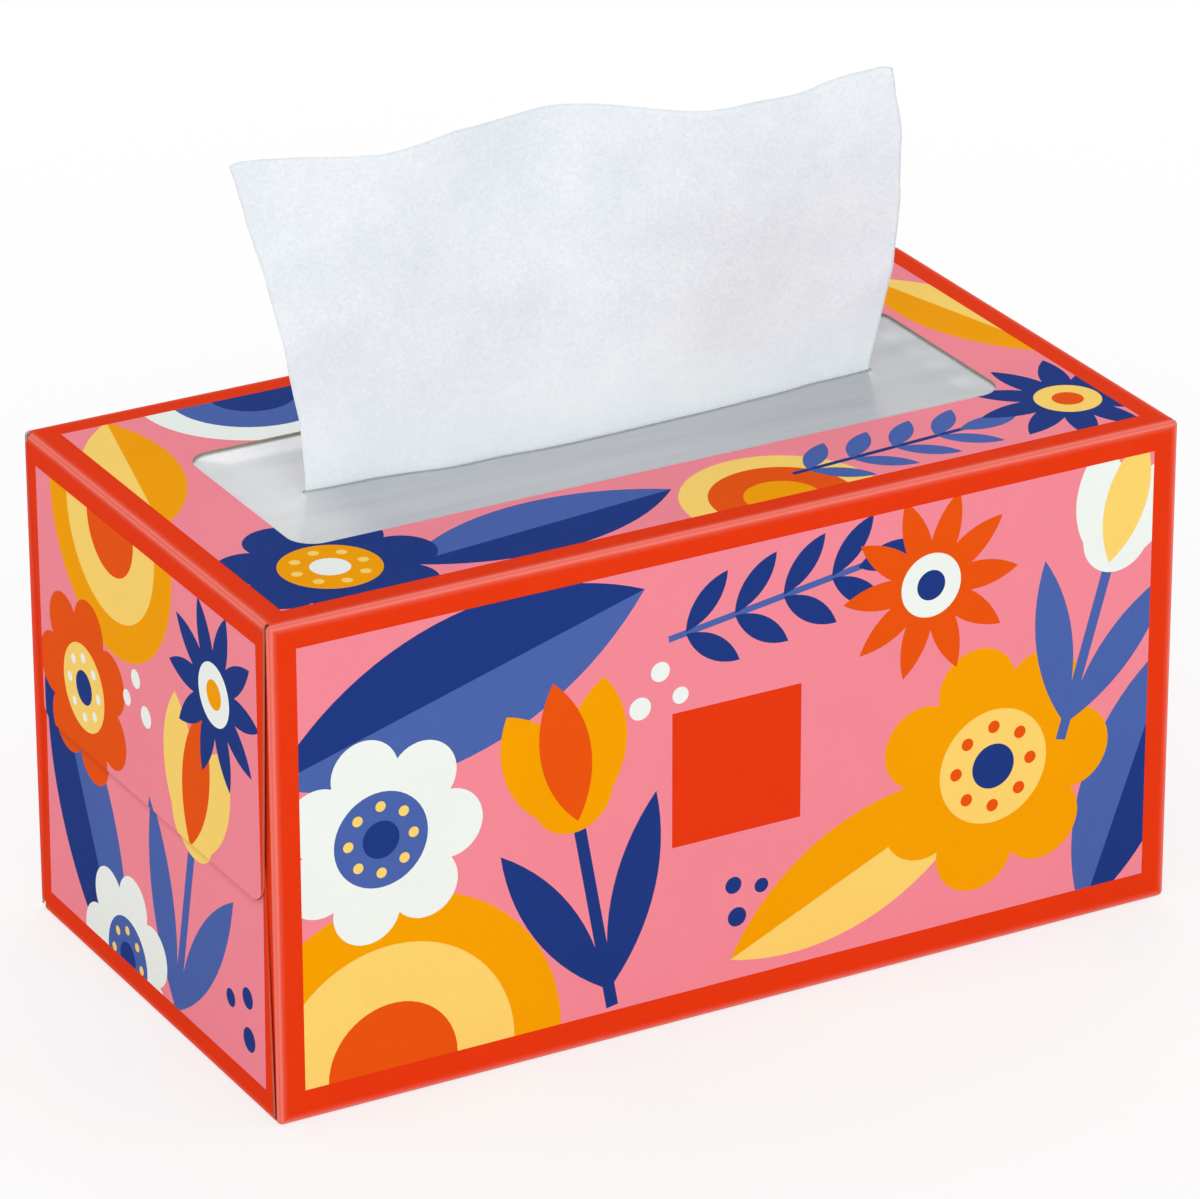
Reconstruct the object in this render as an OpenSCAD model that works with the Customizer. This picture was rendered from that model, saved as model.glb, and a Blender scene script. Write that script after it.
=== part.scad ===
// Upright tissue box: one folded and glued carton with a film window in its top,
// the pack of interfolded tissues inside, and the top tissue pulled up through the slit.
// Millimetres. +Z is up, the front panel faces -Y, and the origin is at the middle of
// the box's underside.

/* [Carton] */
// Length of the carton, along X
carton_l = 230; // [190:1:260]
// Depth of the carton from front to back, along Y
carton_w = 123; // [108:1:140]
// Height of the carton
carton_h = 120; // [98:1:140]
// Thickness of the folding boxboard
board_t = 0.45; // [0.35:0.05:0.6]
// Outer radius of each fold
fold_r = 1.3; // [1:0.1:1.8]
// Thickness of the glue between two layers
glue_t = 0.08; // [0.05:0.01:0.12]
// Width of the glue flap that closes the tube along its back bottom edge
seam_w = 14; // [10:1:20]
// Height of the back panel's raw lower edge above the underside
seam_lift = 0.4; // [0.2:0.1:1]

/* [End flaps] */
// Height of the outer end flap, which hangs from the top panel
outer_flap_h = 68.5; // [60:0.5:80]
// How far the outer flap laps over the lower flap
flap_lap = 12.5; // [12:0.5:20]
// Inset of a flap's side from the carton's corner, at the flap's fold
flap_inset = 2.4; // [2:0.1:3.5]
// How much further in the side is at the flap's free edge
flap_taper = 3.4; // [1:0.1:6]
// Radius of the corners of a flap's free edge
flap_r = 5.5; // [3:0.5:6]
// Length of each dust flap, which folds in from the front or back panel
dust_flap_l = 50; // [35:1:54]
// Width of each line of hot glue on the flaps
bead_w = 5; // [3:0.5:5]
// How far glue stays from the edges of the board that it holds
glue_margin = 1; // [0.5:0.1:1]

/* [Opening and film] */
// Width of the top panel's board at each end of the opening
opening_end = 24.75; // [22:0.25:32]
// Width of the board along the front and back of the opening, where it lies in the middle
opening_side = 32.6; // [28:0.1:36]
// Corner radius of the opening
opening_r = 6.5; // [3:0.5:12]
// How far the opening lies behind the middle of the top
opening_shift = 1.3; // [0:0.1:3]
// Thickness of the plastic film under the opening
film_t = 0.08; // [0.05:0.01:0.15]
// How far the film reaches past the opening on every side
film_margin = 12; // [8:0.5:14]
// Width of the line of glue that holds the film
film_glue_w = 5; // [3:0.5:7]
// Room between the pulled tissue and the front lip of the slit
slit_gap = 0.35; // [0.2:0.05:1]
// How far the slit runs past the tissue at each end
slit_end = 3; // [2:0.5:6]

/* [Tissues] */
// Room between the pack of tissues and each end
end_room = 11; // [8:0.5:16]
// Room between the pack and the front and back panels
side_room = 8.25; // [6:0.25:12]
// Room between the pack and the top panel
head_room = 17.1; // [15:0.1:30]
// Thickness of one tissue
sheet_t = 0.2; // [0.15:0.05:0.3]
// Height taken by one pair of folds on a long side of the pack
fold_pitch = 2; // [1.5:0.25:4]
// Height of the pulled tissue above the film
pull_h = 76; // [50:1:95]
// Room between the pulled tissue and each end of the opening, before it is shifted
neck_room = 18; // [13:0.5:26]
// How far the pulled tissue stands right of the middle
neck_shift = -2; // [-4:0.5:4]
// How far the tissue's left side leans out at its top
flare_left = 11.5; // [0:0.1:14]
// How far the right side bulges out halfway up
bulge_right = 4.7; // [0:0.1:8]
// How far the tissue bows forward in the middle of the slit
slit_bow = 4.5; // [2:0.1:7]
// Depth of the wave of its top edge, from the crest in the middle to the trough beside it
wave_depth = 21.6; // [8:0.2:24]
// How far the top left corner curls back
corner_curl = 10.2; // [0:0.1:12]

/* [Print] */
// Width of the plain border at the two ends of the top and front panels
border_side = 6.5; // [4:0.1:12]
// Width of the border along the front and back panels' upper edge
border_front_top = 6.2; // [4:0.1:12]
// Width of the border along the front and back panels' lower edge
border_front_low = 7.5; // [4:0.1:12]
// Width of the border along the top panel's front and back edges
border_top = 6.6; // [4:0.1:12]
// Width of the border round each end
border_end = 6.4; // [5:0.1:12]
// Side of the plain label in the middle of the front panel
label_w = 33; // [20:1:50]
// Thickness of a field of ink
ink_t = 0.05; // [0.03:0.01:0.08]

/* [Hidden] */

// Fineness of the arcs
$fn = 96;
// How far a cut runs past what it cuts
over = 1;

// Length of the four panels between the folds at their ends
panel_l = carton_l - 2 * fold_r;
// One board and one line of glue: the step from one layer of flaps to the next
layer = board_t + glue_t;
// Height of the free edge of the outer flap
lap_z = carton_h - outer_flap_h;
lower_flap_h = lap_z + flap_lap;
lower_flap_w = carton_w - layer;
// Where the lower flap has sunk one layer and runs level under the outer flap
lower_drop_at = lap_z + flap_r;

opening_l = carton_l - 2 * opening_end;
opening_w = carton_w - 2 * opening_side;
film_z = carton_h - board_t - glue_t - film_t;
film_l = opening_l + 2 * film_margin;
film_w = opening_w + 2 * film_margin;

// The pack rests on the bottom panel, and its tissues lie folded in half
pack_w = carton_w - 2 * side_room;
pack_h = carton_h - 2 * board_t - head_room;
pack_z = board_t + pack_h;
// Size of a flat tissue along the box and, before it is folded, across it
sheet_l = carton_l - 2 * end_room;
sheet_d = 2 * pack_w;
// Share of a pair of folds' height that each fold bulges out
fold_bulge = 0.56;

neck_w = opening_l - 2 * neck_room;
slit_y = opening_shift;
// Room between the pulled tissue and the back lip of the slit
back_gap = slit_gap + 0.15;

// Section of a fold of 90 degrees: the outer corner of its two panels is the origin, and
// they run off along X and along -Y
module fold_section() {
    translate([fold_r, -fold_r])
        intersection() {
            difference() {
                circle(fold_r);
                circle(fold_r - board_t);
            }
            translate([-fold_r - over, 0])
                square(fold_r + over);
        }
}

// Turns a section into a solid of this width along X, the section's X running along Y
module along_x(width) {
    rotate([90, 0, 90])
        linear_extrude(width, center = true)
            children();
}

// Half the width of a flap at distance s from its fold
function flap_half(width, height, s) = width / 2 - flap_inset - flap_taper * s / height;

// Outline of an end flap: its fold lies on the X axis and it reaches up to y = height
module flap_outline(width, height) {
    slope = atan(flap_taper / height);
    root = flap_half(width, height, fold_r);
    tip = flap_half(width, height, height);
    corner = [tip - flap_r * (1 - sin(slope)) / cos(slope), height - flap_r];
    touch = corner + flap_r * [cos(slope), sin(slope)];
    polygon([
        [-root, fold_r], [root, fold_r],
        touch, [corner.x, height],
        [-corner.x, height], [-touch.x, touch.y]
    ]);
    for (side = [-1, 1])
        translate([side * corner.x, corner.y])
            circle(flap_r);
}

// Section of a flap past its fold: it sinks by drop until it is drop_at from the corner,
// to pass under the flaps that lie over it, and then runs level
module flap_section(height, drop_at, drop) {
    mitre = board_t * tan(atan(drop / (drop_at - fold_r)) / 2);
    polygon([
        [fold_r, 0], [drop_at, -drop], [height, -drop],
        [height, -drop - board_t], [drop_at - mitre, -drop - board_t], [fold_r - mitre, -board_t]
    ]);
}

// A flap with its fold, its outside facing up: the fold lies along X and the flap runs
// along Y
module flap(width, height, fold_w, drop_at, drop) {
    along_x(fold_w)
        fold_section();
    intersection() {
        along_x(width)
            flap_section(height, drop_at, drop);
        translate([0, 0, -drop - board_t - over])
            linear_extrude(drop + board_t + 2 * over)
                flap_outline(width, height);
    }
}

// Stands what lies flat up against the right end: its X runs along Y and its Y runs up
module at_end() {
    translate([carton_l / 2, 0, 0])
        rotate([90, 0, 90])
            children();
}

module outer_flap() {
    at_end()
        translate([0, carton_h])
            mirror([0, 1])
                flap(
                    carton_w, outer_flap_h, 2 * flap_half(carton_w, outer_flap_h, fold_r),
                    outer_flap_h / 2, 0
                );
}

module lower_flap() {
    at_end()
        flap(
            lower_flap_w, lower_flap_h, 2 * flap_half(lower_flap_w, lower_flap_h, fold_r),
            lower_drop_at, layer
        );
}

// The dust flap of the front panel
module dust_flap() {
    at_end()
        translate([-carton_w / 2, carton_h / 2])
            rotate(-90)
                flap(carton_h, dust_flap_l, carton_h - 2 * fold_r, flap_inset, 2 * layer);
}

// The four flaps of the right end
module end_flaps() {
    outer_flap();
    lower_flap();
    for (side = [0, 1])
        mirror([0, side, 0])
            dust_flap();
}

// Rounded corner of board where three folds meet
module corner_shell() {
    intersection() {
        difference() {
            sphere(fold_r);
            sphere(fold_r - board_t);
        }
        cube(fold_r + over);
    }
}

// One long fold between two panels
module long_fold() {
    along_x(panel_l)
        fold_section();
}

module tube() {
    y_fold = carton_w / 2 - fold_r;
    z_fold = carton_h - fold_r;
    // Front and back panels
    translate([-panel_l / 2, -carton_w / 2, fold_r])
        cube([panel_l, board_t, carton_h - 2 * fold_r]);
    translate([-panel_l / 2, carton_w / 2 - board_t, seam_lift])
        cube([panel_l, board_t, carton_h - fold_r - seam_lift]);
    // Bottom panel, with the glue flap inside the back panel
    translate([-panel_l / 2, -y_fold, 0])
        cube([panel_l, 2 * y_fold - layer, board_t]);
    translate([-panel_l / 2, carton_w / 2 - layer - board_t, fold_r])
        cube([panel_l, board_t, seam_w - fold_r]);
    // Top panel, with the opening
    difference() {
        translate([-panel_l / 2, -y_fold, carton_h - board_t])
            cube([panel_l, 2 * y_fold, board_t]);
        translate([0, 0, carton_h - board_t - over])
            linear_extrude(board_t + 2 * over)
                opening_outline();
    }
    // Folds of the top's front and back edges, and of the bottom's front and back edges
    for (side = [0, 1])
        mirror([0, side, 0])
            translate([0, -carton_w / 2, carton_h])
                long_fold();
    translate([0, -carton_w / 2, 0])
        mirror([0, 0, 1])
            long_fold();
    translate([0, carton_w / 2 - layer, 0])
        rotate([180, 0, 0])
            long_fold();
    // Corners where the front or back panel, the top or bottom and a dust flap meet
    both_ends() {
        translate([panel_l / 2, y_fold, z_fold])
            corner_shell();
        mirror([0, 1, 0])
            translate([panel_l / 2, y_fold, z_fold])
                corner_shell();
        translate([panel_l / 2, -y_fold, fold_r])
            rotate([180, 0, 0])
                corner_shell();
    }
}

module opening_outline() {
    translate([0, opening_shift])
        round_rectangle(opening_l, opening_w, opening_r);
}

module round_rectangle(length, width, radius) {
    square([length - 2 * radius, width], center = true);
    square([length, width - 2 * radius], center = true);
    for (x = [-1, 1], y = [-1, 1])
        translate([x * (length / 2 - radius), y * (width / 2 - radius)])
            circle(radius);
}

module both_ends() {
    for (end = [0, 1])
        mirror([end, 0, 0])
            children();
}

module carton() {
    color("orangered") {
        tube();
        both_ends()
            end_flaps();
    }
}

// Hot glue between the flaps of each end, and along the tube's seam
module carton_glue() {
    color("wheat") {
        both_ends() {
            // Between the outer flap and the lower flap, in their lap
            translate([carton_l / 2 - layer, -lap_reach, lower_flap_h - glue_margin - bead_w])
                cube([glue_t, 2 * lap_reach, bead_w]);
            // Between the dust flaps and the level part of the lower flap
            for (side = [-1, 1])
                translate([
                    carton_l / 2 - 2 * layer,
                    side * (carton_w / 2 - dust_flap_l / 2) - bead_w,
                    lower_flap_h - glue_margin - bead_w
                ])
                    cube([glue_t, 2 * bead_w, bead_w]);
        }
        translate([-opening_l / 2, carton_w / 2 - layer, fold_r + glue_margin])
            cube([opening_l, glue_t, seam_w - fold_r - 2 * glue_margin]);
    }
}

// Film, glued under the top panel, with the slit that the tissue has pushed open
module film_window() {
    color("gainsboro")
        translate([0, 0, film_z])
            linear_extrude(film_t)
                difference() {
                    translate([0, opening_shift])
                        square([film_l, film_w], center = true);
                    polygon(concat(
                        slit_lip(0, 1, -slit_gap - sheet_t / 2),
                        slit_lip(1, 0, back_gap + sheet_t / 2)
                    ));
                }
}

module film_glue() {
    inner = (film_margin - film_glue_w) / 2;
    color("wheat")
        translate([0, opening_shift, film_z + film_t])
            linear_extrude(glue_t)
                difference() {
                    square([film_l - 2 * inner, film_w - 2 * inner], center = true);
                    square(
                        [film_l - 2 * inner - 2 * film_glue_w, film_w - 2 * inner - 2 * film_glue_w],
                        center = true
                    );
                }
}

// Places in the sheet: u runs from its left side to its right side, and rise from the
// slit, at 0, to the pulled tissue's top edge, at 1
sheet_steps = 36;

function clamp01(v) = min(1, max(0, v));
function smooth(v) = let (c = clamp01(v)) c * c * (3 - 2 * c);

// How late the left side leans out on its way up, and how far the right side does
flare_power = 1.75;
lean_right = 2;
function left_x(rise) = neck_shift - neck_w / 2 - flare_left * pow(rise, flare_power);
function right_x(rise) =
    neck_shift + neck_w / 2 + bulge_right * sin(180 * rise) + lean_right * rise;

// Line of the sheet in the slit: bowed forward, its right end a little nearer the front
slit_turn = 1;
function slit_wave(u) = slit_y - slit_bow * sin(180 * u) - slit_turn * u;

// Line of the top edge through its crests and troughs, from left to right: each has its
// place along the edge, and the share of the wave's depth that it stands back
crests = [[0, 0.04 + corner_curl / wave_depth], [0.2, 0.04], [0.48, 0.4], [0.72, -0.6], [1, -0.3]];
function swing(u, k) =
    let (a = crests[k], b = crests[k + 1])
    u > b[0]
    ? swing(u, k + 1)
    : a[1] + (b[1] - a[1]) * (1 - cos(180 * (u - a[0]) / (b[0] - a[0]))) / 2;
function top_wave(u) = slit_y + wave_depth * swing(u, 0);

// A lip of the slit from place u0 to u1, this far behind the sheet's middle, after the
// slit's own end
lip_steps = 24;
lip_over = 0.5;
function slit_lip(u0, u1, behind) = concat(
    [[neck_shift + (u0 - 0.5) * (neck_w + 2 * slit_end), slit_wave(u0)]],
    [
        for (i = [0:lip_steps])
            let (u = u0 + (u1 - u0) * i / lip_steps)
            [neck_shift + (u - 0.5) * (neck_w + 2 * lip_over), slit_wave(u) + behind]
    ]
);

// Pack of interfolded tissues, with the rows of folds along its two long sides
module tissue_pack() {
    rows = floor(pack_h / fold_pitch);
    pitch = pack_h / rows;
    bulge = fold_bulge * pitch;
    color("ghostwhite")
        translate([0, 0, board_t])
            rotate([90, 0, 90])
                linear_extrude(sheet_l, center = true)
                    intersection() {
                        translate([-pack_w / 2, 0])
                            square([pack_w, pack_h]);
                        union() {
                            translate([bulge - pack_w / 2, 0])
                                square([pack_w - 2 * bulge, pack_h]);
                            for (row = [0:rows])
                                translate([bulge - pack_w / 2, row * pitch])
                                    circle(bulge);
                            for (row = [0:rows - 1])
                                translate([pack_w / 2 - bulge, (row + 0.5) * pitch])
                                    circle(bulge);
                        }
                    }
}

// The pulled tissue's path from its top edge down through the slit and onto the pack,
// then back to the pack's long side and once under itself
seat_gap = 0.3;
under_r = 0.6;
turn_r = 4;
low_z = pack_z + seat_gap + sheet_t / 2;
high_z = low_z + 2 * under_r;
stand_l = film_z + pull_h - high_z - turn_r;
turn_l = turn_r * PI / 2;
flat_l = pack_w / 2 - slit_y - turn_r - under_r;
under_l = under_r * PI;
last_l = sheet_d - stand_l - turn_l - flat_l - under_l;

// Rows of points on each part of the path
rows_up = 14;
rows_down = 4;
rows_turn = 4;
rows_flat = 2;
rows_under = 4;
// Share of its full length that the sheet has fanned out to before it turns
fan_down = 0.8;

function fanned_left(fan) = left_x(0) - fan * (sheet_l / 2 + left_x(0));
function fanned_right(fan) = right_x(0) + fan * (sheet_l / 2 - right_x(0));

// The rows of the sheet: place along Y, height, direction of the path there, left side,
// right side, and rise, which runs below 0 under the slit
function path_rows() = concat(
    [
        for (i = [0:rows_up])
            let (rise = 1 - i / rows_up)
            [slit_y, film_z + pull_h * rise, -90, left_x(rise), right_x(rise), rise]
    ],
    [
        for (i = [1:rows_down])
            let (down = i / rows_down, fan = smooth(fan_down * down))
            [
                slit_y, film_z - (film_z - high_z - turn_r) * down, -90,
                fanned_left(fan), fanned_right(fan), -down
            ]
    ],
    [
        for (i = [1:rows_turn])
            let (
                a = 90 * i / rows_turn,
                fan = smooth(fan_down + (1 - fan_down) * i / rows_turn)
            )
            [
                slit_y + turn_r * (1 - cos(a)), high_z + turn_r * (1 - sin(a)), a - 90,
                fanned_left(fan), fanned_right(fan), -1
            ]
    ],
    [
        for (i = [1:rows_flat])
            [slit_y + turn_r + flat_l * i / rows_flat, high_z, 0, -sheet_l / 2, sheet_l / 2, -1]
    ],
    [
        for (i = [1:rows_under])
            let (a = 180 * i / rows_under)
            [
                slit_y + turn_r + flat_l + under_r * sin(a), high_z - under_r * (1 - cos(a)), -a,
                -sheet_l / 2, sheet_l / 2, -1
            ]
    ],
    [
        for (i = [1:rows_flat])
            [
                slit_y + turn_r + flat_l - last_l * i / rows_flat, low_z, -180,
                -sheet_l / 2, sheet_l / 2, -1
            ]
    ]
);

// How far the sheet stands off its path at place u of a row
function row_wave(rise, u) =
    rise < 0
    ? (slit_wave(u) - slit_y) * (1 - smooth(-rise))
    : (slit_wave(u) - slit_y) * (1 - smooth(rise)) + (top_wave(u) - slit_y) * smooth(rise);

// Both faces of the sheet, row by row, as one closed surface
function sheet_face(rows, side) = [
    for (row = rows, j = [0:sheet_steps])
        let (u = j / sheet_steps, off = side * sheet_t / 2)
        [
            row[3] + (row[4] - row[3]) * u,
            row[0] + row_wave(row[5], u) + off * sin(row[2]),
            row[1] - off * cos(row[2])
        ]
];

module pulled_tissue() {
    rows = path_rows();
    down = len(rows);
    across = sheet_steps + 1;
    count = down * across;
    quads = concat(
        [
            for (i = [0:down - 2], j = [0:across - 2])
                let (a = i * across + j)
                [a, a + 1, a + across + 1, a + across]
        ],
        [
            for (i = [0:down - 2], j = [0:across - 2])
                let (a = count + i * across + j)
                [a, a + across, a + across + 1, a + 1]
        ],
        [
            for (i = [0:down - 2], end = [0, 1])
                let (a = i * across + end * (across - 1), b = a + across)
                end == 0 ? [a, b, b + count, a + count] : [a, a + count, b + count, b]
        ],
        [
            for (j = [0:across - 2], end = [0, 1])
                let (a = end * (down - 1) * across + j)
                end == 0 ? [a, a + count, a + count + 1, a + 1] : [a, a + 1, a + count + 1, a + count]
        ]
    );
    color("white")
        polyhedron(
            concat(sheet_face(rows, -1), sheet_face(rows, 1)),
            [for (q = quads, half = [0, 1]) [q[0], q[1 + half], q[2 + half]]]
        );
}

// Pieces of the print, drawn flat: their own measures are shares of their size

// Pointed leaf from the origin along X
module lens(length, width) {
    r = (length * length + width * width) / (4 * width);
    intersection() {
        translate([length / 2, width / 2 - r])
            circle(r);
        translate([length / 2, r - width / 2])
            circle(r);
    }
}

// The side of a lens that lies above its own middle line
module half_lens(length, width) {
    intersection() {
        lens(length, width);
        translate([-over, 0])
            square([length + 2 * over, width]);
    }
}

// Shapes laid on each other from the first up: draws what shows of one ink, or their
// whole outline where ink is "all"
module layered(inks, ink) {
    for (i = [0:$children - 1])
        if (ink == "all")
            children(i);
        else if (inks[i] == ink)
            difference() {
                children(i);
                for (j = [i + 1:1:$children - 1])
                    children(j);
            }
}

// Round flower with lobed petals, a disc, an eye and a ring of seeds
petals = 7;
seeds = 8;
module rosette(size, inks, ink) {
    petal_r = 0.165 * size;
    petal_at = size / 2 - petal_r;
    layered(inks, ink) {
        union() {
            circle(petal_at);
            for (k = [1:petals])
                rotate(k * 360 / petals)
                    translate([petal_at, 0])
                        circle(petal_r);
        }
        circle(0.23 * size);
        circle(0.09 * size);
        for (k = [1:seeds])
            rotate(k * 360 / seeds)
                translate([0.16 * size, 0])
                    circle(0.025 * size);
    }
}

// Flower of narrow pointed petals
rays = 10;
module star_flower(size, inks, ink) {
    layered(inks, ink) {
        union() {
            circle(0.1 * size);
            for (k = [1:rays])
                rotate(k * 360 / rays)
                    lens(size / 2, 0.15 * size);
        }
        circle(0.17 * size);
        circle(0.08 * size);
    }
}

// Cup of three petals on a stem with two leaves
module tulip(size, inks, ink) {
    layered(inks, ink) {
        union() {
            translate([-0.018 * size, -size / 2])
                square([0.036 * size, 0.7 * size]);
            for (side = [-1, 1])
                translate([side * 0.009 * size, -0.44 * size])
                    rotate(90 - side * 24)
                        lens(0.56 * size, 0.13 * size);
        }
        union() {
            translate([0, 0.17 * size])
                circle(0.12 * size);
            for (side = [-1, 1])
                translate([side * 0.02 * size, 0.07 * size])
                    rotate(90 - side * 18)
                        lens(0.41 * size, 0.19 * size);
        }
        translate([0, 0.08 * size])
            rotate(90)
                lens(0.42 * size, 0.15 * size);
    }
}

// Straight stem with pairs of small leaves and one at its tip
pairs = 4;
module sprig(size, inks, ink) {
    step = 0.76 * size / pairs;
    layered(inks, ink) {
        translate([-size / 2, -0.012 * size])
            square([0.8 * size, 0.024 * size]);
        union() {
            for (k = [0:pairs - 1], side = [-1, 1])
                translate([(k + 0.35) * step - size / 2, side * 0.004 * size])
                    rotate(side * 42)
                        lens(0.25 * size, 0.085 * size);
            translate([0.24 * size, 0])
                lens(0.26 * size, 0.1 * size);
        }
    }
}

// Broad leaf with one half darker than the other
module leaf(size, inks, ink) {
    layered(inks, ink) {
        translate([-size / 2, 0])
            lens(size, 0.36 * size);
        translate([-size / 2, 0])
            half_lens(size, 0.36 * size);
    }
}

// Half disc of three bands
module fan(size, inks, ink) {
    layered(inks, ink) {
        half_disc(0.5 * size);
        half_disc(0.36 * size);
        half_disc(0.19 * size);
    }
}

module half_disc(r) {
    intersection() {
        circle(r);
        translate([-r - over, 0])
            square([2 * (r + over), r + over]);
    }
}

// Three loose dots
module dots(size, inks, ink) {
    layered(inks, ink)
        union() {
            translate([-0.3 * size, -0.16 * size])
                circle(0.16 * size);
            translate([0.3 * size, -0.1 * size])
                circle(0.12 * size);
            translate([0, 0.3 * size])
                circle(0.14 * size);
        }
}

// One motif in its place, m = [kind, across, up, angle, size, inks]: across and up are
// shares of half the field, and the size is a percentage of the field's height
module motif(m, field, ink) {
    size = motif_size(m, field);
    translate([m[1] * field.x / 2, m[2] * field.y / 2])
        rotate(m[3]) {
            if (m[0] == "rosette") rosette(size, m[5], ink);
            if (m[0] == "star") star_flower(size, m[5], ink);
            if (m[0] == "tulip") tulip(size, m[5], ink);
            if (m[0] == "sprig") sprig(size, m[5], ink);
            if (m[0] == "leaf") leaf(size, m[5], ink);
            if (m[0] == "fan") fan(size, m[5], ink);
            if (m[0] == "dots") dots(size, m[5], ink);
            if (m[0] == "label" && ink == "all") square(label_w, center = true);
        }
}

function motif_size(m, field) = m[4] / 100 * field.y;

function uses(m, ink) = len([for (own = m[5]) if (own == ink) own]) > 0;
function meet(a, b, field) =
    norm([(a[1] - b[1]) * field.x, (a[2] - b[2]) * field.y])
        < motif_size(a, field) + motif_size(b, field);

// What shows of one ink in a field of motifs, each laid over those before it
module artwork(layout, field, ink) {
    last = len(layout) - 1;
    if (ink == "pink")
        difference() {
            square(field, center = true);
            for (m = layout)
                motif(m, field, "all");
        }
    else
        intersection() {
            square(field, center = true);
            union()
                for (i = [0:last])
                    if (uses(layout[i], ink))
                        difference() {
                            motif(layout[i], field, ink);
                            for (j = [i + 1:1:last])
                                if (meet(layout[i], layout[j], field))
                                    motif(layout[j], field, "all");
                        }
        }
}

// The motifs of each panel, from the lowest up
front_motifs = [
    ["leaf", -0.64, 0.66, 16, 90, ["blue", "navy"]],
    ["fan", -0.80, -1, 0, 79, ["amber", "yellow", "orange"]],
    ["leaf", 0.30, -0.62, 24, 70, ["yellow", "amber"]],
    ["sprig", 0.14, 0.74, 8, 62, ["blue", "navy"]],
    ["tulip", -0.36, -0.20, 10, 79, ["navy", "amber", "orange"]],
    ["rosette", -0.82, 0.06, 0, 47, ["white", "blue", "navy", "yellow"]],
    ["leaf", 0.96, -0.50, 70, 66, ["navy", "blue"]],
    ["rosette", 0.62, -0.30, 0, 58, ["amber", "yellow", "navy", "orange"]],
    ["star", 0.46, 0.62, 0, 43, ["orange", "white", "navy"]],
    ["tulip", 0.88, 0.42, -16, 70, ["blue", "white", "yellow"]],
    ["dots", -0.18, 0.42, 0, 16, ["white"]],
    ["dots", 0.02, -0.62, 40, 14, ["navy"]]
];

// The label shows the board's own colour, so it has no ink
front_label = ["label", 0, 0, 0, 60, []];

top_motifs = [
    ["leaf", -0.96, 0.48, 76, 56, ["amber", "yellow"]],
    ["leaf", -0.36, -0.78, 6, 64, ["navy", "blue"]],
    ["rosette", -0.82, -0.72, 0, 46, ["navy", "amber", "white", "yellow"]],
    ["fan", 0.14, -1, 0, 42, ["yellow", "orange", "amber"]],
    ["sprig", 0.50, -0.78, 4, 56, ["navy", "blue"]],
    ["star", 0.92, -0.70, 0, 42, ["navy", "yellow", "orange"]],
    ["leaf", 0.97, 0.30, 104, 58, ["yellow", "amber"]],
    ["rosette", 0.60, 0.84, 0, 47, ["blue", "white", "amber", "navy"]],
    ["tulip", 0.14, 0.78, 84, 60, ["navy", "orange", "yellow"]],
    ["fan", -0.56, 1, 180, 49, ["white", "blue", "navy"]],
    ["dots", -0.24, 0.82, 0, 15, ["amber"]]
];
end_motifs = [
    ["leaf", 0.62, -0.46, 64, 78, ["navy", "blue"]],
    ["fan", 0.30, 1, 180, 58, ["amber", "yellow", "orange"]],
    ["tulip", -0.34, -0.30, 12, 82, ["blue", "yellow", "orange"]],
    ["rosette", 0.60, 0.14, 0, 43, ["orange", "yellow", "navy", "white"]],
    ["star", -0.62, 0.62, 0, 41, ["navy", "white", "amber"]],
    ["rosette", 0.26, -0.98, 0, 41, ["white", "blue", "navy", "yellow"]],
    ["dots", 0.10, 0.30, 0, 15, ["white"]],
    ["dots", -0.80, -0.74, 30, 17, ["navy"]]
];

front_field = [carton_l - 2 * border_side, carton_h - border_front_top - border_front_low];
top_field = [carton_l - 2 * border_side, carton_w - 2 * border_top];
end_field = [carton_w - 2 * border_end, carton_h - 2 * border_end];

// Bare line on the lower flap along the outer flap's edge
print_gap = 0.15;
// Half the length of the glue between the two end flaps
lap_reach = carton_w / 2 - flap_inset - flap_taper - flap_r;

module front_print(layout, ink) {
    translate([0, -carton_w / 2, border_front_low + front_field.y / 2])
        rotate([90, 0, 0])
            linear_extrude(ink_t)
                artwork(layout, front_field, ink);
}

module top_print(ink) {
    translate([0, 0, carton_h])
        linear_extrude(ink_t)
            difference() {
                artwork(top_motifs, top_field, ink);
                opening_outline();
            }
}

// The print of an end lies partly on the outer flap and partly on the lower one, which
// slopes under it
module end_print(ink) {
    slope = atan(layer / (lower_drop_at - fold_r));
    at_end()
        linear_extrude(ink_t)
            intersection() {
                end_artwork(ink);
                outer_outline();
            }
    at_end()
        translate([0, fold_r])
            rotate([-slope, 0, 0])
                translate([0, -fold_r])
                    linear_extrude(ink_t)
                        difference() {
                            intersection() {
                                end_artwork(ink);
                                flap_outline(lower_flap_w, lower_flap_h);
                                translate([-carton_w / 2, 0])
                                    square([carton_w, lower_drop_at]);
                            }
                            outer_outline(print_gap);
                        }
}

module end_artwork(ink) {
    translate([0, carton_h / 2])
        artwork(end_motifs, end_field, ink);
}

// The outer flap's outline in the plane of the end, larger by grow on each side
module outer_outline(grow = 0) {
    translate([0, carton_h])
        mirror([0, 1])
            flap_outline(carton_w + 2 * grow, outer_flap_h + grow);
}

module print(ink) {
    front_print(concat(front_motifs, [front_label]), ink);
    rotate(180)
        front_print(front_motifs, ink);
    top_print(ink);
    both_ends()
        end_print(ink);
}

module ink_pink() {
    color("lightpink")
        print("pink");
}

module ink_navy() {
    color("navy")
        print("navy");
}

module ink_blue() {
    color("royalblue")
        print("blue");
}

module ink_amber() {
    color("orange")
        print("amber");
}

module ink_yellow() {
    color("khaki")
        print("yellow");
}

module ink_white() {
    color("mintcream")
        print("white");
}

module ink_orange() {
    color("tomato")
        print("orange");
}

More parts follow.
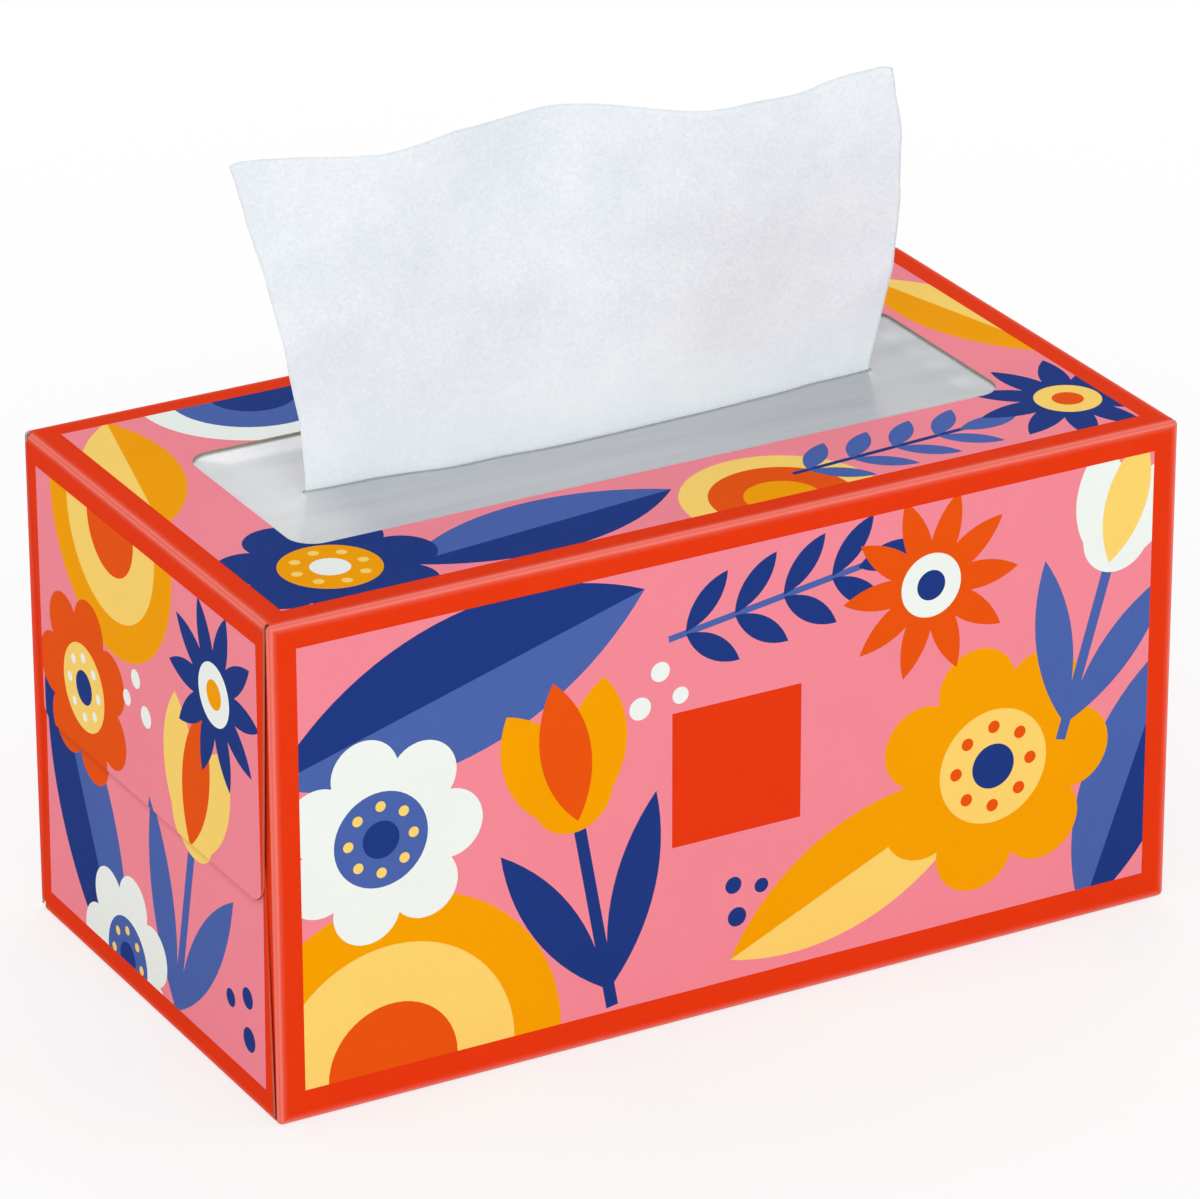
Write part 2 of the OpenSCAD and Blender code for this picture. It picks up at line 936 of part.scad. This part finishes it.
carton();
carton_glue();
film_window();
film_glue();
tissue_pack();
pulled_tissue();
ink_pink();
ink_navy();
ink_blue();
ink_amber();
ink_yellow();
ink_white();
ink_orange();
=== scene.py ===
# Upright tissue box: a printed and folded paperboard carton with a film window in its
# top, the pack of tissues inside, and the top tissue pulled up through the slit.
# Everything is in metres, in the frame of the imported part: the front panel faces -Y.

import math

import bpy
from mathutils import Matrix, Vector, noise


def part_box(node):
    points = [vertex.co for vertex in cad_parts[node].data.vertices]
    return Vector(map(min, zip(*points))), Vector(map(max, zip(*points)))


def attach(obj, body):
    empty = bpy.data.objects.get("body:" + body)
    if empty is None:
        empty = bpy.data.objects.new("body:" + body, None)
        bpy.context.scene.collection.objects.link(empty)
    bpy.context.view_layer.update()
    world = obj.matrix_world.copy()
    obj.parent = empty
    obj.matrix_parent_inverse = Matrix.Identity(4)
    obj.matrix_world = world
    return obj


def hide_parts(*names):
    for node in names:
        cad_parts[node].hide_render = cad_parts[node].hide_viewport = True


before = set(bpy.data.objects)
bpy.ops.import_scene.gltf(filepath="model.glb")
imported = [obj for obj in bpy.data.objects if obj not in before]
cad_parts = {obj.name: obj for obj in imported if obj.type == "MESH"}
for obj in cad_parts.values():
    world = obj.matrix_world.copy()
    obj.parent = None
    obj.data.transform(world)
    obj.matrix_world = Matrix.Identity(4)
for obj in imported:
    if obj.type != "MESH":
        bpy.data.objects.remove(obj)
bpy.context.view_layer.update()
mm = 0.001


# Camera
# It stands well in front of the box's front left corner and looks down on it through a
# long lens. Its place, angles and lens were solved from seven corners of the box.
def new_object(name, data):
    """A new object in the scene."""
    made = bpy.data.objects.new(name, data)
    bpy.context.scene.collection.objects.link(made)
    return made


camera_data = bpy.data.cameras.new("photo_camera")
camera_data.sensor_width = 36
camera_data.lens = 219.33
camera_data.clip_end = 50
camera_place = Vector((-0.73544, -1.32688, 0.76533))
camera_turn = math.radians(-28.98)
camera_tilt = math.radians(90 - 24.41)
camera_roll = math.radians(-0.147)
camera = new_object("photo_camera", camera_data)
camera.matrix_world = (
    Matrix.Translation(camera_place)
    @ Matrix.Rotation(camera_turn, 4, "Z")
    @ Matrix.Rotation(camera_tilt, 4, "X")
    @ Matrix.Rotation(camera_roll, 4, "Z")
)
bpy.context.scene.camera = camera


# Carton
# One blank of folding boxboard, printed on its outside and varnished, then creased,
# folded into a tube and closed at each end by four glued flaps. Along each crease the ink
# is paler, partly stretched and partly a painted highlight; every cut edge shows the grey core.
def linear(red, green, blue):
    """A colour given as 0 to 255 in sRGB, as a shader's linear colour."""
    parts = [c / 255 for c in (red, green, blue)]
    made = [c / 12.92 if c <= 0.04045 else ((c + 0.055) / 1.055) ** 2.4 for c in parts]
    return (*made, 1)


class Link:
    """A socket in a material: Python's operators on it add Math nodes."""

    def __init__(self, tree, socket=None):
        self.tree = tree
        self.socket = socket

    def node(self, kind, settings, sockets, output=0):
        """Adds a node: its settings are set first, then its sockets, by name or number."""
        made = self.tree.nodes.new("ShaderNode" + kind)
        for name, value in settings.items():
            setattr(made, name, value)
        for name, value in sockets.items():
            if isinstance(value, Link):
                self.tree.links.new(value.socket, made.inputs[name])
            else:
                made.inputs[name].default_value = value
        return Link(self.tree, made.outputs[output] if made.outputs else None)

    def maths(self, operation, *values):
        """Adds a Math node on these values."""
        return self.node("Math", {"operation": operation}, dict(enumerate(values)))

    def __add__(self, other):
        return self.maths("ADD", self, other)

    __radd__ = __add__

    def __sub__(self, other):
        return self.maths("SUBTRACT", self, other)

    def __rsub__(self, other):
        return self.maths("SUBTRACT", other, self)

    def __mul__(self, other):
        return self.maths("MULTIPLY", self, other)

    __rmul__ = __mul__

    def __abs__(self):
        return self.maths("ABSOLUTE", self)

    def root(self):
        return self.maths("SQRT", self)

    def least(self, other):
        return self.maths("MINIMUM", self, other)

    def most(self, other):
        return self.maths("MAXIMUM", self, other)

    def ramp(self, start, end):
        """Runs softly from 0 where this is start to 1 where it is end."""
        settings = {"interpolation_type": "SMOOTHSTEP"}
        return self.node("MapRange", settings, {0: self, 1: start, 2: end})

    def blend(self, low, high):
        """The colour low where this is 0, and high where it is 1."""
        return self.node("Mix", {"data_type": "RGBA"}, {0: self, 6: low, 7: high}, 2)

    def part(self, axis):
        """One coordinate of this place."""
        return self.node("SeparateXYZ", {}, {0: self}, axis)

    def scaled(self, x, y, z):
        """This place, with each axis multiplied."""
        return self.node("VectorMath", {"operation": "MULTIPLY"}, {0: self, 1: (x, y, z)})

    def cloud(self, scale, detail=2, roughness=0.5):
        """Noise from 0 to 1, its grains about 1 / scale metres long."""
        sockets = {"Vector": self, "Scale": scale, "Detail": detail, "Roughness": roughness}
        return self.node("TexNoise", {}, sockets)

    def bump(self, strength, depth, under=None):
        """The normals of a surface that this raises by up to depth metres."""
        sockets = {"Height": self, "Strength": strength, "Distance": depth}
        if under:
            sockets["Normal"] = under
        return self.node("Bump", {}, sockets)


def new_material(name):
    """A material with an empty tree, and the place of each point in the part's frame."""
    material = bpy.data.materials.new(name)
    material.use_nodes = True
    material.node_tree.nodes.clear()
    place = Link(material.node_tree).node("TexCoord", {}, {}, "Object")
    return material, place


def finished(place, sockets):
    """Ends a material in a Principled shader with these sockets."""
    surface = place.node("BsdfPrincipled", {}, sockets)
    place.node("OutputMaterial", {}, {"Surface": surface})


def dress(node_name, *materials):
    """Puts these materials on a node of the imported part, in place of its own."""
    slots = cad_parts[node_name].data.materials
    slots.clear()
    for material in materials:
        slots.append(material)


half_length, half_depth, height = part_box("carton")[1]
flap_height = 68.5 * mm
flap_inset = 2.4 * mm
flap_taper = 3.4 * mm
flap_corner = 5.5 * mm
flap_slant = flap_taper / flap_height
flap_corner_y = half_depth - flap_inset - flap_corner
flap_corner_drop = flap_height - flap_corner
shade_reach = 2.6 * mm
shade_line = 0.45 * mm


def end_depth(place):
    """How deep a place lies under the nearer end of the box."""
    return half_length - abs(place.part("X"))


def painted_flap_shade(place):
    """The painted shade under the free edge of an outer flap, on the lower flap: a soft band and
    a darker line at the edge.
    """
    drop = height - place.part("Z")
    past_side = (abs(place.part("Y")) + flap_slant * drop - flap_corner_y).most(0)
    past_edge = (drop - flap_corner_drop).most(0)
    past_flap = (past_side * past_side + past_edge * past_edge).root() - flap_corner
    outside = past_flap.ramp(-0.02 * mm, 0.04 * mm)
    wide = past_flap.ramp(shade_reach, 0)
    narrow = past_flap.ramp(shade_line, 0.1 * mm)
    under_outer_flap = end_depth(place).ramp(0.1 * mm, 0.25 * mm)
    over_dust_flaps = end_depth(place).ramp(0.85 * mm, 0.65 * mm)
    return outside * under_outer_flap * over_dust_flaps * (0.22 * wide + 0.4 * narrow)


def ink_mottle(place):
    """The cloudy and grainy unevenness of printed ink, from 0 to 1."""
    return 0.5 * place.cloud(70) + 0.5 * place.cloud(800)


def varnished(place, colour, bump_under=None):
    """Ends a material in satin varnish, with the faint orange peel of the sheet and painted
    shade under the outer flaps' edges.
    """
    sockets = {
        # The colour darkens toward dark brown as painted shade under the outer flaps' free
        # edges.
        "Base Color": painted_flap_shade(place).blend(colour, linear(70, 28, 24)),
        "Roughness": 0.55 + 0.12 * place.cloud(260, 3),
        "Specular IOR Level": 0.015,
        "Normal": place.cloud(900, 3).bump(0.12, 0.05 * mm, bump_under),
    }
    finished(place, sockets)


printed_board, place = new_material("printed_board")
from_end = end_depth(place)
from_side = half_depth - abs(place.part("Y"))
from_top = place.part("Z").least(height - place.part("Z"))
from_crease = from_end.most(from_side).least(from_side.most(from_top))
from_crease = from_crease.least(from_end.most(from_top))
# Along each crease the ink is paler, partly stretched ink and partly a painted highlight, with a
# thin less pale line on the ridge itself.
wear_and_highlight_waver = 0.25 * mm
wavering = from_crease + wear_and_highlight_waver * (place.cloud(120) - 0.5)
wear_and_highlight_band = wavering.ramp(2.5 * mm, 0.7 * mm)
wear_and_highlight_line = wavering.ramp(1.35 * mm, 0.75 * mm)
dimmer_highlight_ridge = from_crease.ramp(0.62 * mm, 0.42 * mm)
wear_and_highlight = (0.28 * wear_and_highlight_band + 0.42 * wear_and_highlight_line) * (1 - 0.35 * dimmer_highlight_ridge)
border_ink = ink_mottle(place).blend(linear(225, 53, 14), linear(233, 60, 19))
stretched_ink_and_highlight = linear(244, 140, 128)
crease_line = from_crease.ramp(0.75 * mm, 0.45 * mm).bump(0.5, 0.06 * mm)
varnished(place, wear_and_highlight.blend(border_ink, stretched_ink_and_highlight), crease_line)

# Ink is rubbed over the cut edges of the end flaps, most of all on the inner ones.
cut_edge, place = new_material("cut_board_edge")
fibres = place.cloud(2200, 3, 0.7)
core = fibres.blend(linear(150, 134, 116), linear(192, 178, 158))
on_inner_flap = end_depth(place).ramp(0.35 * mm, 0.5 * mm)
on_end_flap = end_depth(place).ramp(3 * mm, 2 * mm)
rubbed = (0.4 + 0.5 * on_inner_flap) * on_end_flap
sockets = {
    "Base Color": rubbed.blend(core, linear(222, 72, 42)),
    "Roughness": 0.9,
    "Specular IOR Level": 0.1,
    "Normal": fibres.bump(0.6, 0.05 * mm),
}
finished(place, sockets)

board_inside, place = new_material("board_inside")
fibres = place.cloud(700, 4, 0.65)
sockets = {
    "Base Color": fibres.blend(linear(190, 185, 174), linear(213, 210, 203)),
    "Roughness": 0.85,
    "Specular IOR Level": 0.15,
    "Normal": fibres.bump(0.3, 0.05 * mm),
}
finished(place, sockets)

# A face within 60 degrees of its panel's outward direction is printed, and one that
# lies so to the inward direction is bare board.
dress("carton", printed_board, cut_edge, board_inside)
outer_face, cut_face, inner_face = range(3)
wall_room = 1.6 * mm
least_cosine = 0.5
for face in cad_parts["carton"].data.polygons:
    middle = face.center
    outward = Vector((0, 0, 0))
    if half_length - abs(middle.x) < wall_room:
        outward.x = math.copysign(1, middle.x)
    if half_depth - abs(middle.y) < wall_room:
        outward.y = math.copysign(1, middle.y)
    if min(middle.z, height - middle.z) < wall_room:
        outward.z = math.copysign(1, middle.z - height / 2)
    facing = face.normal.dot(outward.normalized())
    if facing > least_cosine:
        face.material_index = outer_face
    elif facing < -least_cosine:
        face.material_index = inner_face
    else:
        face.material_index = cut_face


# Print
# Seven inks, printed side by side on the outside of the blank before it is cut, and
# covered by the same satin varnish as the bare border round them.
ink_colours = {
    "ink_pink": (242, 138, 151),
    "ink_navy": (32, 57, 128),
    "ink_blue": (75, 100, 170),
    "ink_amber": (244, 160, 0),
    "ink_yellow": (252, 212, 110),
    "ink_white": (238, 244, 238),
    "ink_orange": (232, 84, 14),
}
uneven_share = 0.015
uneven_step = 1.5
for node_name, colour in ink_colours.items():
    ink, place = new_material(node_name)
    thin = [min(255, c * (1 + uneven_share) + uneven_step) for c in colour]
    dense = [max(0, c * (1 - uneven_share) - uneven_step) for c in colour]
    varnished(place, ink_mottle(place).blend(linear(*dense), linear(*thin)))
    dress(node_name, ink)


# Hot glue
# Lines of hot-melt glue between the flaps of each end and along the tube's seam, and
# the band of glue that holds the film under the top panel. It sets amber and waxy.
glue, place = new_material("hot_glue")
waxy = place.cloud(500)
sockets = {
    "Base Color": waxy.blend(linear(214, 190, 140), linear(232, 214, 172)),
    "Roughness": 0.35 + 0.15 * waxy,
    "Specular IOR Level": 0.4,
    "Normal": waxy.bump(0.4, 0.08 * mm),
}
finished(place, sockets)
dress("carton_glue", glue)
dress("film_glue", glue)


# Film
# A rectangle of thin polyethylene film, glued under the top panel on all four sides and
# slit lengthwise. It is hazy and a little slack, so it lies in long soft wrinkles, and
# the pulled tissue holds the two lips of the slit apart.
opening_length = 180.5 * mm
opening_depth = 57.8 * mm
slit_middle_y = 1.3 * mm
neck_width = 144.5 * mm
neck_middle_x = -2 * mm
slit_bow = 4.5 * mm
slit_turn = 1 * mm
slit_sway = 1.1 * mm
sway_length = 17 * mm
slit_end = 1 * mm
slit_half_gap = 0.3 * mm
film_thick = 0.08 * mm
film_sag = 0.55 * mm
sag_margin = 7 * mm
lip_lift = 0.45 * mm
lift_reach = 3.2 * mm
long_wrinkle = 0.2 * mm
long_wrinkle_length = 75 * mm
long_wrinkle_width = 7.5 * mm
short_wrinkle = 0.03 * mm
short_wrinkle_length = 38 * mm
short_wrinkle_width = 3.6 * mm
film_columns = 220
film_rows = 30
film_low, film_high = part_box("film_window")


def clamp(value):
    return min(1, max(0, value))


def drift(x, y, z):
    """Smooth noise from -1 to 1, in waves about 1 long."""
    return noise.noise(Vector((x, y, z)))


def slit_line(x):
    """How far back the slit lies at x: bowed forward and a little uneven."""
    share = clamp((x - neck_middle_x) / neck_width + 0.5)
    bow = math.sin(math.pi * share)
    sway = slit_sway * drift(x / sway_length, 2.6, 0) * min(1, 3 * bow)
    return slit_middle_y - slit_bow * bow - slit_turn * share + sway


def slit_room(x):
    """How open the slit is at x, from 0 past its ends to 1 at the tissue."""
    beyond = abs(x - neck_middle_x) - neck_width / 2
    return clamp(1 - beyond / slit_end)


def film_height(x, y):
    """Height of the film's middle: flat where it is glued, and wrinkled in the opening."""
    to_end = opening_length / 2 - abs(x)
    to_side = opening_depth / 2 - abs(y - slit_middle_y)
    free = clamp(min(to_end, to_side) / sag_margin)
    rise = long_wrinkle * drift(x / long_wrinkle_length, y / long_wrinkle_width, 3.1)
    rise += short_wrinkle * drift(x / short_wrinkle_length, y / short_wrinkle_width, 8.7)
    if slit_room(x) > 0:
        rise += lip_lift * math.exp(-abs(y - slit_line(x)) / lift_reach)
    return film_high.z - film_thick / 2 + free * (rise - film_sag)


film_points = []
for column in range(film_columns + 1):
    x = film_low.x + (film_high.x - film_low.x) * column / film_columns
    for side, glued_y in ((-1, film_low.y), (1, film_high.y)):
        lip_y = slit_line(x) + side * slit_half_gap * slit_room(x)
        for row in range(film_rows + 1):
            y = glued_y + (lip_y - glued_y) * (row / film_rows)
            film_points.append((x, y, film_height(x, y)))
film_faces = []
half_column = film_rows + 1
for column in range(film_columns):
    for half in (0, 1):
        for row in range(film_rows):
            first = (2 * column + half) * half_column + row
            beside = first + 2 * half_column
            corners = [first, beside, beside + 1, first + 1]
            film_faces.append(corners if half == 0 else corners[::-1])


def piece(name, points, faces, material, thickness, offset):
    """A sheet of this thickness as a smooth piece that rides with the box."""
    mesh = bpy.data.meshes.new(name)
    mesh.from_pydata(points, [], faces)
    mesh.validate()
    mesh.materials.append(material)
    for face in mesh.polygons:
        face.use_smooth = True
    made = new_object(name, mesh)
    weld = made.modifiers.new("weld", "WELD")
    weld.merge_threshold = 0.002 * mm
    solid = made.modifiers.new("thickness", "SOLIDIFY")
    solid.thickness = thickness
    solid.offset = offset
    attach(made, "root")
    return made


clear_film, place = new_material("clear_film")
haze = place.scaled(0.1, 1, 1).cloud(130, 3)
# The film's left end, past the tissue, is painted paler, so that the film in front of the tissue
# looks shaded: painted light.
painted_light_end = place.part("X").ramp(-64 * mm, -82 * mm)
stretched_end = place.part("X").ramp(-5 * mm, 85 * mm)
haze_and_painted_light = 0.06 + 0.4 * haze + 0.76 * painted_light_end
fine_streaks = place.scaled(0.05, 1, 1).cloud(700, 3)
sockets = {
    "Base Color": haze_and_painted_light.blend(linear(191, 194, 200), linear(238, 239, 241)),
    "Roughness": 0.17 + 0.08 * haze,
    "IOR": 1.8,
    "Alpha": 0.62 + 0.14 * haze - 0.06 * stretched_end,
    "Coat Weight": 1 - 0.3 * stretched_end,
    "Coat Roughness": 0.15,
    "Coat IOR": 1.7,
    "Normal": fine_streaks.bump(0.06, 0.04 * mm),
}
finished(place, sockets)
film = piece("film_membrane", film_points, film_faces, clear_film, film_thick, 0)
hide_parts("film_window")


# Pack of tissues
# About two hundred two-ply tissues, each folded in half round its neighbours and laid
# in a pile on the bottom panel. Only the pile's top shows, dimly, through the film.
pack_paper, place = new_material("pack_paper")
fold_pitch = 2 * mm
fold_rows = place.maths("SINE", place.part("Z") * (2 * math.pi / fold_pitch))
soft = place.cloud(45, 3)
crepe = place.scaled(1, 0.35, 1).cloud(1900, 2, 0.6)
sockets = {
    "Base Color": soft.blend(linear(226, 231, 238), linear(240, 243, 246)),
    "Roughness": 0.95,
    "Specular IOR Level": 0.1,
    "Normal": (crepe + 0.3 * fold_rows).bump(0.5, 0.12 * mm),
}
finished(place, sockets)
dress("tissue_pack", pack_paper)


# Pulled tissue
# The pile's top tissue, two plies of soft creped paper, pulled up through the slit by one
# edge. It stands in one slow wave, its foot lies folded on the pile, and the two plies
# part a little along its edges.
pull_height = 76 * mm
flare_left = 11.5 * mm
flare_power = 1.75
bulge_right = 4.7 * mm
lean_right = 2 * mm
wave_depth = 21.6 * mm
crests = [(0, 0.51), (0.2, 0.04), (0.48, 0.4), (0.72, -0.6), (1, -0.3)]
sheet_length = 208 * mm
sheet_width = 213 * mm
ply_thick = 0.1 * mm
turn_radius = 4 * mm
under_radius = 0.6 * mm
seat_gap = 0.3 * mm
fan_down = 0.8
pack_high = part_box("tissue_pack")[1]
film_level = film_low.z
low_level = pack_high.z + seat_gap + ply_thick
high_level = low_level + 2 * under_radius
drop_run = film_level - high_level - turn_radius
turn_run = turn_radius * math.pi / 2
flat_run = pack_high.y - slit_middle_y - turn_radius - under_radius
under_run = under_radius * math.pi


def smooth(value):
    """Runs softly from 0 at 0 to 1 at 1."""
    kept = clamp(value)
    return kept * kept * (3 - 2 * kept)


def left_side(rise):
    return neck_middle_x - neck_width / 2 - flare_left * rise**flare_power


def right_side(rise):
    bulge = bulge_right * math.sin(math.pi * rise)
    return neck_middle_x + neck_width / 2 + bulge + lean_right * rise


def top_line(u):
    """How far back the top edge lies at share u of its length."""
    back = crests[-1][1]
    for (start, low), (end, high) in zip(crests, crests[1:]):
        if start <= u < end:
            turn = (1 - math.cos(math.pi * (u - start) / (end - start))) / 2
            back = low + (high - low) * turn
    return slit_middle_y + wave_depth * back


def neck_line(u):
    """How far back the sheet lies in the slit at share u."""
    return slit_line(neck_middle_x + (u - 0.5) * neck_width)


def sheet_place(u, run):
    """Place of the sheet at share u across it, run metres down from its top edge."""
    if run < pull_height:
        rise = 1 - run / pull_height
        x = left_side(rise) + (right_side(rise) - left_side(rise)) * u
        y = neck_line(u) + (top_line(u) - neck_line(u)) * smooth(rise)
        return Vector((x, y, film_level + pull_height * rise))
    run -= pull_height
    if run < drop_run + turn_run:
        down = min(1, run / drop_run)
        angle = max(0, run - drop_run) / turn_radius
        fan = smooth(fan_down * down + (1 - fan_down) * angle / (math.pi / 2))
        left = left_side(0) - fan * (sheet_length / 2 + left_side(0))
        right = right_side(0) + fan * (sheet_length / 2 - right_side(0))
        y = slit_middle_y + (neck_line(u) - slit_middle_y) * (1 - smooth(down))
        y += turn_radius * (1 - math.cos(angle))
        z = film_level - drop_run * down - turn_radius * math.sin(angle)
        return Vector((left + (right - left) * u, y, z))
    run -= drop_run + turn_run
    x = sheet_length * (u - 0.5)
    start = slit_middle_y + turn_radius
    if run < flat_run:
        return Vector((x, start + run, high_level))
    run -= flat_run
    if run < under_run:
        angle = run / under_radius
        y = start + flat_run + under_radius * math.sin(angle)
        return Vector((x, y, high_level - under_radius * (1 - math.cos(angle))))
    return Vector((x, start + flat_run - (run - under_run), low_level))


broad_wave = 0.95 * mm
broad_waves_across = 5.5
broad_wave_length = 34 * mm
small_wave = 0.28 * mm
small_waves_across = 17
small_wave_length = 13 * mm
slant_wave = 0.6 * mm
slant_wave_length = 70 * mm
slant_wave_width = 15 * mm
edge_flutter = 0.35 * mm
flutters_across = 24
flutter_reach = 9 * mm
ripple_seed = 1.5


def free_share(run):
    """1 over the free part of the sheet, and down to 0 in the slit and below it."""
    return smooth(3 * (1 - run / pull_height))


def sheet_ripple(u, run):
    """Small waves of the free part of the sheet, none in the slit and on the pile."""
    broad = drift(u * broad_waves_across, run / broad_wave_length, ripple_seed)
    small = drift(u * small_waves_across, run / small_wave_length, ripple_seed + 4)
    along_slant = (u * neck_width - run) / slant_wave_length
    across_slant = (u * neck_width + run) / slant_wave_width
    slanting = drift(along_slant, across_slant, ripple_seed + 7) * smooth(3 * abs(u - 0.5))
    waves = broad_wave * broad + small_wave * small + slant_wave * slanting
    flutter = edge_flutter * drift(u * flutters_across, 0.3, ripple_seed + 9)
    return waves * free_share(run) + flutter * (1 - smooth(run / flutter_reach))


ply_columns = 180
ply_rows = 150
corner_drop = 0.8 * mm
corner_reach = 3 * mm
top_unevenness = 0.8 * mm
top_waves_across = 11
side_unevenness = 0.55 * mm
side_wave_length = 11 * mm
raggedness = 0.18 * mm
rag_length = 4 * mm


def ply_points(inset_top, inset_side):
    """Points of one ply, its top edge and its sides this far inside the other's."""
    made = []
    for row in range(ply_rows + 1):
        for column in range(ply_columns + 1):
            u = column / ply_columns
            to_corner = min(u, 1 - u) * neck_width
            top = inset_top + corner_drop * clamp(1 - to_corner / corner_reach) ** 2
            top += top_unevenness * (0.5 + drift(u * top_waves_across, 2.2, 5.5))
            run = top + (sheet_width - top) * row / ply_rows
            shift = raggedness * drift(run / rag_length, 0.7, ripple_seed)
            shift += side_unevenness * drift(run / side_wave_length, 4.1, round(u))
            shift -= inset_side * (2 * u - 1)
            spot = sheet_place(u, run)
            spot.x += shift * free_share(run)
            spot.y += sheet_ripple(u, run)
            made.append(spot)
    return made


ply_faces = []
for row in range(ply_rows):
    for column in range(ply_columns):
        first = row * (ply_columns + 1) + column
        below = first + ply_columns + 1
        ply_faces.append((first, below, below + 1, first + 1))

# Low on the sheet, just over the slit, the paper is painted whiter: painted light that lifts the
# shade there.
tissue_paper, place = new_material("tissue_paper")
cloudy = place.cloud(45, 5, 0.65)
speckle = place.cloud(1250, 2, 0.6)
crepe = place.scaled(1, 1, 0.3).cloud(2300, 2, 0.6)
felt = place.cloud(420, 3, 0.6)
tone = 0.42 * cloudy.ramp(0.3, 0.7) + 0.3 * felt + 1.3 * (speckle - 0.5) + 0.14
over_slit = place.part("Z") - film_level
painted_light_height = 34 * mm
painted_light_near_slit = over_slit.ramp(painted_light_height, 0) * over_slit.ramp(-1 * mm, 0)
thin_paper = painted_light_near_slit.blend(linear(224, 232, 240), linear(236, 246, 254))
thick_paper = painted_light_near_slit.blend(linear(244, 250, 253), linear(250, 255, 255))
sockets = {
    "Base Color": tone.blend(thin_paper, thick_paper),
    "Roughness": 0.95,
    "Specular IOR Level": 0.1,
    "Normal": (crepe + 0.8 * felt).bump(0.55, 0.1 * mm),
}
finished(place, sockets)

back_inset_top = 0.5 * mm
back_inset_side = 0.35 * mm
front_points = ply_points(0, 0)
front_ply = piece("pulled_tissue_front_ply", front_points, ply_faces, tissue_paper, ply_thick, 1)
back_points = ply_points(back_inset_top, back_inset_side)
back_ply = piece("pulled_tissue_back_ply", back_points, ply_faces, tissue_paper, ply_thick, -1)
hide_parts("pulled_tissue")


# Floor, air and lamps
# A plain white floor under a soft even light, with one broad lamp in front to the left
# of the box and weaker ones to the right and behind, so that the tissue's wave shows.
def seen_share(tree_link):
    """1 on the camera's rays, also by way of gloss and clear film, and 0 on all others."""
    seen = tree_link.node("LightPath", {}, {}, "Is Camera Ray")
    seen = seen.most(tree_link.node("LightPath", {}, {}, "Is Glossy Ray"))
    return seen.most(tree_link.node("LightPath", {}, {}, "Is Transmission Ray"))


white = (1, 1, 1, 1)
off_white = (0.9, 0.9, 0.9, 1)
floor_half = 8
floor_level = -0.05 * mm
floor_corners = [(-1, -1), (1, -1), (1, 1), (-1, 1)]
floor_points = [(x * floor_half, y * floor_half, floor_level) for x, y in floor_corners]
floor_mesh = bpy.data.meshes.new("floor")
floor_mesh.from_pydata(floor_points, [], [(0, 1, 2, 3)])
floor = new_object("floor", floor_mesh)

shadow_reach = 0.16
shadow_end = 0.6
white_floor, place = new_material("white_floor")
seen = seen_share(place)
paint = place.node("BsdfDiffuse", {}, {"Color": seen.blend(off_white, white)})
glow = place.node("Emission", {}, {"Color": white, "Strength": 1})
away = (place.part("X") * place.part("X") + place.part("Y") * place.part("Y")).root()
glow_share = (0.7 + 0.3 * away.ramp(shadow_reach, shadow_end)) * seen
surface = place.node("MixShader", {}, {0: glow_share, 1: paint, 2: glow})
place.node("OutputMaterial", {}, {"Surface": surface})
floor_mesh.materials.append(white_floor)

world = bpy.data.worlds.new("studio_air")
bpy.context.scene.world = world
world.use_nodes = True
world.node_tree.nodes.clear()
air = Link(world.node_tree)
air_strength = 0.8
strength = air_strength + (1 - air_strength) * seen_share(air)
sky = air.node("Background", {}, {"Color": white, "Strength": strength})
air.node("OutputWorld", {}, {"Surface": sky})

lamp_aim = Vector((0, 0, 0.1))


def lamp(name, spot, size, power):
    """A square soft lamp that looks at the box."""
    data = bpy.data.lights.new(name, "AREA")
    data.size = size
    data.energy = power
    made = new_object(name, data)
    made.location = spot
    made.rotation_euler = (lamp_aim - Vector(spot)).to_track_quat("-Z", "Y").to_euler()


lamp("front_lamp", (-1.35, -1.9, 0.85), size=1.8, power=14.5)
lamp("right_lamp", (1.6, -1.8, 0.45), size=1.2, power=4.5)
lamp("back_lamp", (1.1, 1.7, 1.9), size=1.2, power=6)

bpy.context.scene.view_settings.view_transform = "Standard"
